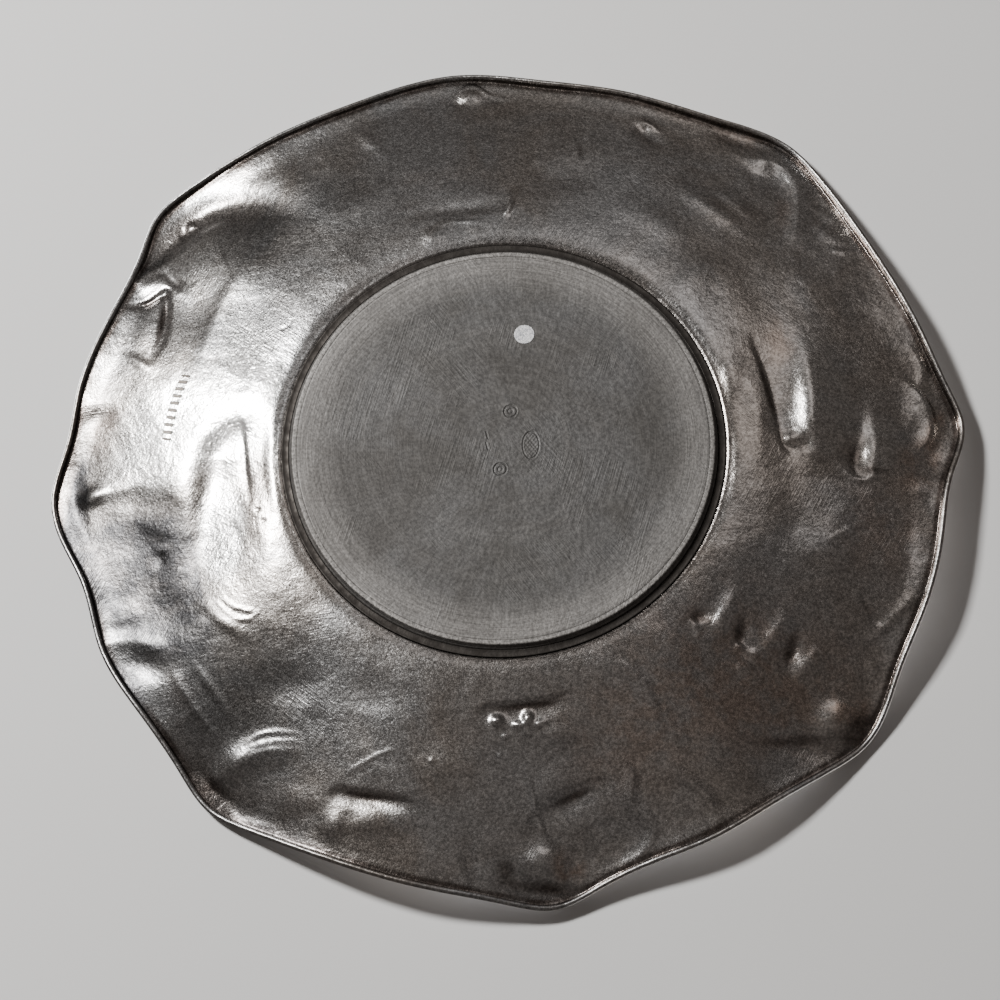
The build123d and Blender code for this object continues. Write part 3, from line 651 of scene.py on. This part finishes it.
def ring_work(x, y, z):
    """Nicks and wear on the foot ring where it stands."""
    a = np.arctan2(y, x)
    wear = ripple(a, (0.03, 5, 0), (0.02, 23, 1), (0.015, 61, 2))
    chatter = np.sin(37 * a + 2 * np.sin(11 * a)) * np.sin(97 * a + 4 * np.sin(3 * a))
    nicks = 0.12 * np.clip(chatter - 0.55, 0, 1)
    return np.where(z < 1.5, np.clip(wear, 0, 1) + nicks * (np.hypot(x, y) > 81.4), 0)


def turned_ring():
    """The foot ring: up inside the wall, over its round top, and down to where it stands."""
    floor = BASE_HOLLOW + SHEET
    inner = SHOWN_JOINT
    top_round, foot_round = WALL_WIDTH / 2, 0.7
    foot = (inner + 0.3, floor)
    spring = (JOINT_RADIUS - WALL_WIDTH, WALL_HEIGHT - top_round)
    neck = (JOINT_RADIUS, JOINT_HEIGHT - NECK)
    stand = (REST_OUTER + foot_round, foot_round)
    profile = [(inner, floor - 0.15), (inner + 0.04, floor - 0.03), (foot[0], floor + 0.08)]
    profile += [between(foot, spring, part) for part in (0.2, 0.45, 0.7, 0.9, 1.0)]
    profile += arc((JOINT_RADIUS - top_round, spring[1]), top_round, np.linspace(150, 0, 8))
    profile.append(neck)
    for part in np.linspace(0, 1, 16)[1:]:
        line = 0.10 * (hump(part - 0.35, 0.05) + hump(part - 0.68, 0.05))
        radius, height = between(neck, stand, part)
        profile.append((radius - line, height + 0.4 * line))
    profile += arc((REST_OUTER, foot_round), foot_round, -np.linspace(0, 90, 8)[1:])
    profile += [(81.9, 0), (81.6, 0.01), (81.35, 0.02), (inner + 0.03, 0.04), (inner, 0.2)]
    ring = lathe("turned_ring", profile, 1080, work=ring_work)
    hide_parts("foot_ring")
    return ring


def seam_fillet():
    """The solder that fills the corner of the groove, wiped by hand."""
    reach = 2.6
    slope = (LIP_HEIGHT - JOINT_HEIGHT) / (LIP_RADIUS - JOINT_RADIUS)
    wall = (JOINT_RADIUS - 0.62, JOINT_HEIGHT - NECK - 0.9)
    rim_side = (JOINT_RADIUS + reach, JOINT_HEIGHT + slope * reach)
    profile = [(JOINT_RADIUS, JOINT_HEIGHT), (rim_side[0], rim_side[1] + 0.25)]
    for part in np.linspace(0, 1, 9)[1:-1]:
        radius, height = between(rim_side, wall, part)
        profile.append((radius, height + 0.8 * part * (1 - part)))
    profile += [wall, (JOINT_RADIUS, JOINT_HEIGHT - NECK)]

    def wiped(x, y, z):
        a = np.arctan2(y, x)
        lumps = np.sin(31 * a + 2 * np.sin(5 * a)) + np.sin(71 * a + 1)
        lumps += 0.6 * np.sin(143 * a + np.sin(9 * a))
        return 0.010 * lumps * (z < JOINT_HEIGHT - 0.5)

    seam = lathe("seam_fillet", profile, 900, work=wiped)
    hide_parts("solder_seam")
    return seam


def paper_dot():
    """The paper label: a thin disc with a soft edge that lifts a little on one side."""
    top = BASE_HOLLOW - 0.03
    bottom = BASE_HOLLOW - LABEL_THICKNESS
    soft = 0.07         # width of the soft edge
    profile = [(r, top) for r in (0.3, 2, 3.6, LABEL_RADIUS - soft)]
    profile += [(LABEL_RADIUS, top - 0.03), (LABEL_RADIUS, bottom + 0.03)]
    profile += [(LABEL_RADIUS - soft, bottom)]
    profile += [(r, bottom) for r in np.linspace(3.7, 0.3, 14)]

    def lifted(x, y, z):
        return -0.22 * smooth(2.2, 4, x * 0.8 - y * 0.6) - 0.02 * np.sin(x * 2) * np.sin(y * 1.7)

    dot = lathe("paper_dot", profile, 96, [(0, 0, top), (0, 0, bottom)], lifted, closed=False)
    points = np.zeros(len(dot.data.vertices) * 3)
    dot.data.vertices.foreach_get("co", points)
    points = points.reshape(-1, 3) + np.array([*LABEL_PLACE, -0.06]) * MM
    dot.data.vertices.foreach_set("co", points.ravel())
    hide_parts("inventory_label")
    return dot


rim = rim_relief()
bead = rolled_bead()
base = turned_base()
ring = turned_ring()
seam = seam_fillet()
dot = paper_dot()


# ---- materials ----

class Look:
    """A node material under construction; textures are placed in the dish's own frame."""

    def __init__(self, name):
        self.material = bpy.data.materials.new(name)
        self.material.use_nodes = True
        self.tree = self.material.node_tree
        self.shader = self.tree.nodes["Principled BSDF"]
        self.place = self.tree.nodes.new("ShaderNodeTexCoord").outputs["Object"]

    def put(self, socket, value):
        """Give a socket a number or a colour, or link it to another node's output."""
        if isinstance(value, bpy.types.NodeSocket):
            self.tree.links.new(value, socket)
        elif isinstance(value, tuple) and len(value) == 3 and socket.type == "RGBA":
            socket.default_value = (*value, 1)
        else:
            socket.default_value = value

    def math(self, operation, a, b=0.0):
        node = self.tree.nodes.new("ShaderNodeMath")
        node.operation = operation
        for socket, value in zip(node.inputs, (a, b)):
            self.put(socket, value)
        return node.outputs[0]

    def times(self, a, b):
        return self.math("MULTIPLY", a, b)

    def span(self, value, low, high, to_low=0.0, to_high=1.0):
        """A soft step from to_low to to_high while the value goes from low to high."""
        node = self.tree.nodes.new("ShaderNodeMapRange")
        node.interpolation_type = "SMOOTHSTEP"
        for socket, v in zip(node.inputs, (value, low, high, to_low, to_high)):
            self.put(socket, v)
        return node.outputs[0]

    def mapped(self, scale, turned=0.0):
        """Coordinates turned about the dish's axis, in degrees, and then scaled."""
        turn = self.tree.nodes.new("ShaderNodeVectorRotate")
        turn.rotation_type = "Z_AXIS"
        self.put(turn.inputs["Vector"], self.place)
        turn.inputs["Angle"].default_value = math.radians(turned)
        stretch = self.tree.nodes.new("ShaderNodeVectorMath")
        stretch.operation = "MULTIPLY"
        self.put(stretch.inputs[0], turn.outputs[0])
        stretch.inputs[1].default_value = scale
        return stretch.outputs[0]

    def noise(self, scale, detail=3.0, rough=0.5, where=None, warp=0.0):
        node = self.tree.nodes.new("ShaderNodeTexNoise")
        self.put(node.inputs["Vector"], where or self.place)
        node.inputs["Scale"].default_value = scale
        node.inputs["Detail"].default_value = detail
        node.inputs["Roughness"].default_value = rough
        node.inputs["Distortion"].default_value = warp
        return node.outputs[0]

    def mix(self, part, a, b, blend="MIX"):
        """Colour a with the given part of colour b laid over it."""
        node = self.tree.nodes.new("ShaderNodeMix")
        node.data_type = "RGBA"
        node.blend_type = blend
        self.put(node.inputs[0], part)
        self.put(node.inputs[6], a)
        self.put(node.inputs[7], b)
        return node.outputs[2]

    def bump(self, height, distance, under=None):
        node = self.tree.nodes.new("ShaderNodeBump")
        node.inputs["Distance"].default_value = distance
        self.put(node.inputs["Height"], height)
        if under:
            self.put(node.inputs["Normal"], under)
        return node.outputs[0]

    def mark(self, name):
        """A value that the mesh carries at its points."""
        node = self.tree.nodes.new("ShaderNodeAttribute")
        node.attribute_name = name
        return node.outputs["Fac"]

    def axes(self):
        """x, y and the distance from the dish's axis."""
        split = self.tree.nodes.new("ShaderNodeSeparateXYZ")
        self.put(split.inputs[0], self.place)
        x, y = split.outputs[0], split.outputs[1]
        return x, y, self.math("SQRT", self.math("ADD", self.times(x, x), self.times(y, y)))

    def rings(self, fine, along):
        """Coordinates for turning marks: fine across the rings, coarse along them."""
        x, y, radius = self.axes()
        join = self.tree.nodes.new("ShaderNodeCombineXYZ")
        for socket, value, scale in zip(join.inputs, (radius, x, y), (fine, along, along)):
            self.put(socket, self.times(value, scale))
        return join.outputs[0]

    def brushed(self, normal, strokes):
        """Fine brushed lines, each kind (scale, direction, cover, depth) in soft patches."""
        for scale, turned, cover, depth in strokes:
            stretch = (scale * 0.04, scale, scale * 0.3)
            lines = self.noise(1, 2, 0.5, self.mapped(stretch, turned), 0.15)
            patches = self.noise(28, 2, 0.5, self.mapped((1, 1, 1), turned * 1.7))
            shown = self.span(patches, 1 - cover, 1.12 - cover)
            normal = self.bump(self.times(self.span(lines, 0.35, 0.8), shown), depth, normal)
        return normal


# The row of chisel cuts on the rim, in metres and degrees.
ROW_X, ROW_Y = -0.1325, -0.024
ROW_TURNED = -15
ROW_BOW = -6.0          # how much the row curves
ROW_HALF_LENGTH = 0.0140
CUT_HALF_LENGTH = 0.0018
CUT_SPACING = 0.0031
CUT_SOFT = 0.0004       # how softly a cut ends


def chisel_ticks(look):
    """A curved row of plain short chisel cuts on the rim: 1 in a cut, 0 beside it."""
    turn = look.tree.nodes.new("ShaderNodeVectorRotate")
    turn.rotation_type = "Z_AXIS"
    turn.inputs["Center"].default_value = (ROW_X, ROW_Y, 0)
    turn.inputs["Angle"].default_value = math.radians(ROW_TURNED)
    look.put(turn.inputs["Vector"], look.place)
    split = look.tree.nodes.new("ShaderNodeSeparateXYZ")
    look.put(split.inputs[0], turn.outputs[0])
    down = look.math("ADD", split.outputs[1], -ROW_Y)
    bow = look.times(look.times(down, down), ROW_BOW)
    beside = look.math("ADD", look.math("ADD", split.outputs[0], -ROW_X), bow)
    across = look.math("ABSOLUTE", beside)
    cut = look.math("ABSOLUTE", look.math("SINE", look.times(down, math.pi / CUT_SPACING)))
    reach = look.math("ABSOLUTE", down)
    row = look.times(
        look.span(across, CUT_HALF_LENGTH + CUT_SOFT, CUT_HALF_LENGTH - CUT_SOFT),
        look.span(reach, ROW_HALF_LENGTH + CUT_SOFT / 2, ROW_HALF_LENGTH - CUT_SOFT / 2),
    )
    return look.times(row, look.span(cut, 0.70, 0.92))


# Colours of the rim's pewter, as parts of its brightness.
COOL = (1.0, 1.0, 1.005)
WARM = (0.93, 0.86, 0.80)
IN_HOLLOWS = (0.42, 0.35, 0.31)
ON_CRESTS = (1.25, 1.23, 1.2)
COPPERY = (0.98, 0.80, 0.69)
# painted highlight
PAINTED_HIGHLIGHT = (1.8, 1.79, 1.77)
# dirt and painted shade
DIRT_AND_SHADE_TONE = (0.22, 0.18, 0.16)
# painted shade, dull dark grey
PAINTED_SHADE_GREY = (0.105, 0.105, 0.11)
# painted shade of the foot ring in the groove
GROOVE_PAINTED_SHADE = (0.24, 0.21, 0.19)
MOTTLED = (0.66, 0.62, 0.60)
CUT_DIRT = (0.2, 0.16, 0.13)

# Brushed lines: (scale, direction in degrees, cover, depth in metres).
RIM_STROKES = [
    (1500, 62, 0.50, 0.00003), (1400, -38, 0.46, 0.00003),
    (1300, 5, 0.42, 0.000025), (1500, 100, 0.42, 0.000025),
]
BASE_STROKES = [(1500, 74, 0.5, 0.00006), (1300, -52, 0.46, 0.00006), (900, 20, 0.36, 0.00009)]


def pewter_rim(name, bright, rough, marked=True):
    """Old hand-worked pewter under a fine leathery grain, grey with a warm cast in places.
    The marks on the mesh make it darker in hollows, darker with dirt and painted shade in slits,
    darker with painted shade in dull patches, and brighter with a painted highlight and smoother in
    places."""
    k = Look(name)

    def tone(parts):
        return tuple(bright * part for part in parts)

    cloud = k.noise(16, 4, 0.6, warp=0.6)
    mottle = k.noise(95, 4, 0.62)
    grain = k.noise(950, 3, 0.6)
    pores = k.noise(2600, 2, 0.5)
    leather = k.noise(430, 3, 0.55, warp=0.9)
    colour = k.mix(k.span(cloud, 0.35, 0.68), tone(COOL), tone(WARM))
    blotch = k.span(mottle, 0.3, 0.7, -0.012, 0.02)
    if marked:
        relief, dulling_and_painted_shade = k.mark("relief"), k.mark("dulling_and_painted_shade")
        colour = k.mix(k.span(relief, -0.35, -2.2, 0, 0.45), colour, tone(IN_HOLLOWS))
        colour = k.mix(k.span(relief, 0.5, 2.0, 0, 0.35), colour, tone(ON_CRESTS))
        tint = k.times(k.span(k.mark("warm"), 0.15, 0.9), k.span(mottle, 0.38, 0.62, 0.25, 0.95))
        colour = k.mix(tint, colour, tone(COPPERY))
        # Painted highlight: brighter colour where the key light's highlight falls.
        highlight_boost = k.times(k.span(k.mark("smoothing_and_painted_highlight"), 0.1, 0.9), k.span(mottle, 0.3, 0.6, 0.7, 1.0))
        colour = k.mix(highlight_boost, colour, tone(PAINTED_HIGHLIGHT))
        # Dirt and painted shade: darker where the grime mark lies, in slits, creases, beside bosses
        # and along the edge.
        dirt_and_shade = k.times(k.span(k.mark("grime"), 0.1, 1.0), k.span(mottle, 0.3, 0.6, 0.65, 0.95))
        colour = k.mix(dirt_and_shade, colour, tone(DIRT_AND_SHADE_TONE))
        # Painted shade: dull dark grey where the rim should turn away from the key light.
        painted_shade = k.times(k.math("MINIMUM", dulling_and_painted_shade, 1.0), k.span(mottle, 0.32, 0.64, 0.84, 1.0))
        colour = k.mix(painted_shade, colour, tone(PAINTED_SHADE_GREY))
        # Painted shade: darker towards the groove by the foot ring, reaching further out on the +x
        # side, where the ring's shadow falls.
        x, _, radius = k.axes()
        corner = k.span(radius, 0.0860, k.span(x, -0.07, 0.03, 0.0885, 0.0950), 0.92, 0)
        colour = k.mix(corner, colour, tone(GROOVE_PAINTED_SHADE))
        blotch = k.math("ADD", blotch, k.span(dulling_and_painted_shade, 0.05, 1.0, 0, 0.06))
        blotch = k.math("SUBTRACT", blotch, k.times(highlight_boost, 0.05))
    speckle = k.times(k.span(grain, 0.34, 0.68, 0.70, 1.22), k.span(pores, 0.3, 0.7, 0.78, 1.18))
    speckle = k.times(speckle, k.span(leather, 0.36, 0.64, 0.84, 1.14))
    colour = k.mix(1.0, colour, speckle, "MULTIPLY")
    colour = k.mix(k.span(mottle, 0.55, 0.75, 0, 0.14), colour, tone(MOTTLED))
    dull = k.math("ADD", k.span(pores, 0.36, 0.64, rough - 0.02, rough + 0.09), blotch)
    normal = k.bump(k.noise(85, 2, 0.5, warp=0.3), 0.00035)
    normal = k.bump(leather, 0.00010, normal)
    normal = k.bump(grain, 0.00007, normal)
    normal = k.bump(pores, 0.000015, normal)
    normal = k.brushed(normal, RIM_STROKES)
    if marked:
        ticks = chisel_ticks(k)
        normal = k.bump(k.math("SUBTRACT", 1.0, ticks), 0.00025, normal)
        colour = k.mix(k.times(ticks, 0.9), colour, tone(CUT_DIRT))
        dull = k.math("ADD", dull, k.times(ticks, 0.35))
    k.shader.inputs["Metallic"].default_value = 1.0
    k.put(k.shader.inputs["Base Color"], colour)
    k.put(k.shader.inputs["Roughness"], dull)
    k.put(k.shader.inputs["Normal"], normal)
    return k.material


def pewter_base():
    """Dull turned pewter: concentric tool marks, scuffs, and a burnished edge where it stands."""
    k = Look("base_pewter_look")
    _, _, radius = k.axes()
    turned = k.noise(1, 3, 0.6, k.rings(1900, 40))
    wide = k.noise(1, 3, 0.55, k.rings(330, 12))
    cloud = k.noise(26, 4, 0.6, warp=0.8)
    grain = k.noise(900, 3, 0.6)
    colour = k.mix(k.span(cloud, 0.34, 0.66), (0.108, 0.106, 0.105), (0.099, 0.095, 0.091))
    colour = k.mix(k.span(wide, 0.5, 0.75, 0, 0.5), colour, (0.142, 0.137, 0.133))
    edge = k.times(k.span(radius, 0.062, 0.0795), k.span(turned, 0.3, 0.7, 0.35, 1))
    colour = k.mix(edge, colour, (0.235, 0.226, 0.218))
    worn = k.times(k.span(radius, 0.0806, 0.0822), k.span(radius, 0.0836, 0.0829))
    colour = k.mix(k.times(worn, k.span(grain, 0.35, 0.6, 0.1, 0.9)), colour, (0.27, 0.26, 0.25))
    colour = k.mix(1.0, colour, k.span(grain, 0.28, 0.74, 0.72, 1.2), "MULTIPLY")
    normal = k.bump(k.noise(110, 3, 0.6), 0.00035)
    normal = k.bump(turned, 0.00006, normal)
    normal = k.bump(grain, 0.00010, normal)
    normal = k.brushed(normal, BASE_STROKES)
    k.shader.inputs["Metallic"].default_value = 1.0
    k.put(k.shader.inputs["Base Color"], colour)
    k.put(k.shader.inputs["Roughness"], k.span(cloud, 0.3, 0.7, 0.60, 0.70))
    k.put(k.shader.inputs["Normal"], normal)
    return k.material


def solder_and_groove_shade_look():
    """Soft solder, tarnished dark and painted nearly black as painted shade in the groove, with a
    dull shine on its lumps.
    """
    k = Look("solder_and_groove_shade_look")
    lump = k.noise(240, 4, 0.6)
    # Near-black colour: tarnish plus painted shade of the groove.
    colour = k.mix(k.span(lump, 0.35, 0.65), (0.028, 0.025, 0.023), (0.045, 0.041, 0.038))
    k.put(k.shader.inputs["Base Color"], colour)
    k.shader.inputs["Metallic"].default_value = 1.0
    k.put(k.shader.inputs["Roughness"], k.span(lump, 0.3, 0.7, 0.62, 0.45))
    k.put(k.shader.inputs["Normal"], k.bump(lump, 0.00012, k.bump(k.noise(1100, 3), 0.00005)))
    return k.material


def paper_look():
    """Matt white paper with a few faint, meaningless pen strokes and a trace of grime."""
    k = Look("paper_look")
    fibre = k.noise(2600, 4, 0.7)
    grime = k.noise(420, 3, 0.6)
    colour = k.mix(k.span(grime, 0.45, 0.75, 0, 0.5), (0.86, 0.86, 0.87), (0.66, 0.64, 0.61))
    strokes = k.noise(1, 1, 0.4, k.mapped((1050, 420, 1), 35), 2.2)
    off_line = k.math("ABSOLUTE", k.math("SUBTRACT", strokes, 0.5))
    ink = k.math("SUBTRACT", 1.0, k.span(off_line, 0.03, 0.09))
    colour = k.mix(k.times(ink, 0.75), colour, (0.16, 0.17, 0.21))
    k.put(k.shader.inputs["Base Color"], colour)
    k.shader.inputs["Roughness"].default_value = 0.85
    k.put(k.shader.inputs["Normal"], k.bump(fibre, 0.00004))
    return k.material


base_look = pewter_base()
rim.data.materials.append(pewter_rim("rim_pewter_look", 0.50, 0.205))
bead.data.materials.append(pewter_rim("bead_pewter_look", 0.36, 0.30, marked=False))
base.data.materials.append(base_look)
ring.data.materials.append(base_look)
seam.data.materials.append(solder_and_groove_shade_look())
dot.data.materials.append(paper_look())


# ---- camera, stage and light ----

AIM = Vector((-1.754, 17.778, 14.926)) * MM
VIEW = Vector((-0.03932, -0.36527, 0.93003)).normalized()      # from the camera to the dish
RIGHT = Vector((0.99907, 0, 0.04224)).normalized()
CAMERA_DISTANCE = 1.3
camera_data = bpy.data.cameras.new("camera")
camera_data.sensor_width = 36
camera_data.lens = 118.72
camera_data.clip_start = 0.05
camera = bpy.data.objects.new("camera", camera_data)
down = VIEW.cross(RIGHT)
axes = Matrix((RIGHT, -down, -VIEW)).transposed()
camera.matrix_world = Matrix.Translation(AIM - VIEW * CAMERA_DISTANCE) @ axes.to_4x4()
bpy.context.scene.collection.objects.link(camera)
bpy.context.scene.camera = camera

STAGE_REACH = 4.0
STAGE_GREY = 0.70
STAGE_ROUGHNESS = 0.7


def plane(name, height, facing):
    """A pale stage surface that shows only from the side it faces and hides nothing behind it."""
    mesh = bpy.data.meshes.new(name)
    far = STAGE_REACH
    corners = [(-far, -far, height), (far, -far, height), (far, far, height), (-far, far, height)]
    mesh.from_pydata(corners, [], [(0, 1, 2, 3) if facing > 0 else (3, 2, 1, 0)])
    obj = bpy.data.objects.new(name, mesh)
    bpy.context.scene.collection.objects.link(obj)
    m = bpy.data.materials.new(name + "_look")
    m.use_nodes = True
    nodes, links = m.node_tree.nodes, m.node_tree.links
    shader = nodes["Principled BSDF"]
    shader.inputs["Base Color"].default_value = (STAGE_GREY, STAGE_GREY, STAGE_GREY, 1)
    shader.inputs["Roughness"].default_value = STAGE_ROUGHNESS
    clear = nodes.new("ShaderNodeBsdfTransparent")
    mix = nodes.new("ShaderNodeMixShader")
    side = nodes.new("ShaderNodeNewGeometry")
    links.new(side.outputs["Backfacing"], mix.inputs[0])
    links.new(shader.outputs[0], mix.inputs[1])
    links.new(clear.outputs[0], mix.inputs[2])
    links.new(mix.outputs[0], nodes["Material Output"].inputs[0])
    mesh.materials.append(m)
    obj.visible_shadow = False
    obj.visible_diffuse = False
    obj.visible_glossy = False


plane("rest_surface", 0.0349, -1)
plane("floor", -0.0001, 1)

# Square lamps: (name, where from, distance, width, power, colour, lights matt surfaces too).
# Those that don't light matt surfaces only add shine to the metal.
LAMPS = [
    ("key_below", (-0.577, -0.345, -0.740), 1.6, 0.22, 42, (1, 0.985, 0.96), True),
    ("fill_below", (0.27, -0.48, -0.83), 1.8, 0.8, 1.4, (1, 0.93, 0.89), False),
    ("bounce_below", (0.10, 0.34, -0.93), 1.8, 1.2, 0.25, (1, 0.90, 0.82), False),
    ("north_below", (0.12, -0.72, -0.68), 1.8, 1.0, 0.35, (1, 1, 1), False),
    ("key_above", (-0.54, -0.54, 0.64), 1.6, 0.9, 46, (1, 1, 1), True),
    ("fill_above", (0.62, 0.30, 0.72), 1.9, 1.5, 12, (1, 0.96, 0.92), True),
]
STUDIO_COLOUR = (1, 0.895, 0.83, 1)
STUDIO_STRENGTH = 0.106

for name, where, distance, width, power, colour, lights_matt in LAMPS:
    lamp = bpy.data.lights.new(name, "AREA")
    lamp.shape = "RECTANGLE"
    lamp.size = lamp.size_y = width
    lamp.energy = power
    lamp.color = colour
    obj = bpy.data.objects.new(name, lamp)
    obj.location = Vector(where) * distance
    obj.rotation_mode = "QUATERNION"
    obj.rotation_quaternion = (-Vector(where)).to_track_quat("-Z", "Y")
    obj.visible_diffuse = lights_matt
    bpy.context.scene.collection.objects.link(obj)

world = bpy.data.worlds.new("studio")
world.use_nodes = True
world.node_tree.nodes["Background"].inputs[0].default_value = STUDIO_COLOUR
world.node_tree.nodes["Background"].inputs[1].default_value = STUDIO_STRENGTH
bpy.context.scene.world = world
